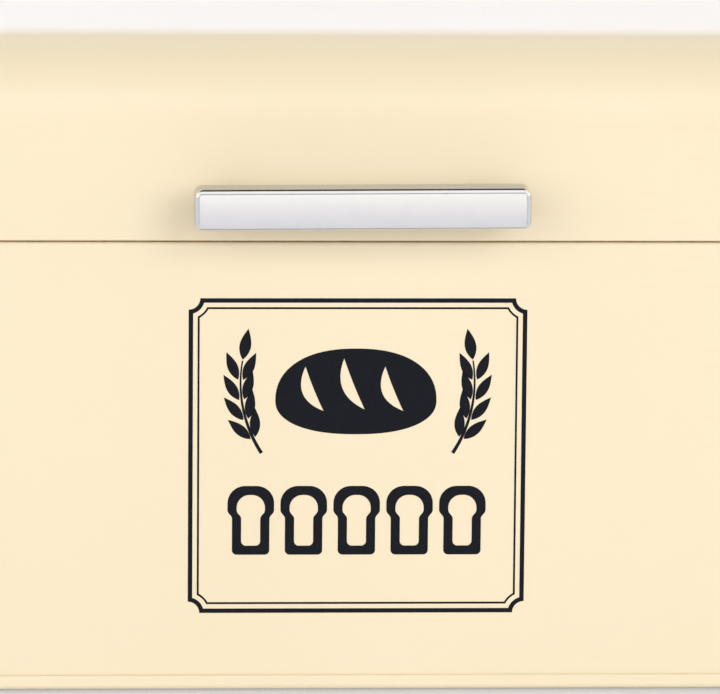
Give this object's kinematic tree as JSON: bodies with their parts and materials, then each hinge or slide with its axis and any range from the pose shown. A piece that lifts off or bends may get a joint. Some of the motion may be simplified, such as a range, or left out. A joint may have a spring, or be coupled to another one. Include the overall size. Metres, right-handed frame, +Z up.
{
  "type": "bread bin",
  "caption": "Rectangular steel bread bin with round corners and a rear-hinged lid lifted by a bar handle; free-standing on rubber feet.",
  "frame": {"origin": "on the table, at the centre of the whole footprint, handle and hinges included", "axes": "+X to the bin's right seen from the front, +Y to its back, where the hinges are, +Z up; the handle is towards -Y"},
  "size_m": [0.4266, 0.2426, 0.166],
  "materials": {
    "cream_paint": "satin",
    "satin_chrome": "satin",
    "plated_steel": "satin",
    "bright_steel": "polished",
    "foot_rubber": "matte",
    "clear_silicone": "satin",
    "print_ink": "satin"
  },
  "bodies": {
    "bin": {"body_wall": "cream_paint", "base_plate": "cream_paint", "foot_front_left": "foot_rubber", "foot_front_right": "foot_rubber", "foot_rear_left": "foot_rubber", "foot_rear_right": "foot_rubber", "hinge_left_body_leaf": "plated_steel", "hinge_right_body_leaf": "plated_steel", "hinge_left_pin": "bright_steel", "hinge_right_pin": "bright_steel", "hinge_body_rivets": "bright_steel"},
    "lid": {"lid_shell": "cream_paint", "handle_bar": "satin_chrome", "handle_screws": "bright_steel", "handle_washers": "bright_steel", "hinge_left_lid_leaf": "plated_steel", "hinge_right_lid_leaf": "plated_steel", "hinge_lid_rivets": "bright_steel", "bumper_left": "clear_silicone", "bumper_right": "clear_silicone"}
  },
  "joints": [
    {"name": "lid_hinge", "type": "hinge", "parent": "bin", "child": "lid", "pos_m": [0, 0.114, 0.1148], "axis": [-1, 0, 0], "range_deg": [0, 100]}
  ]
}
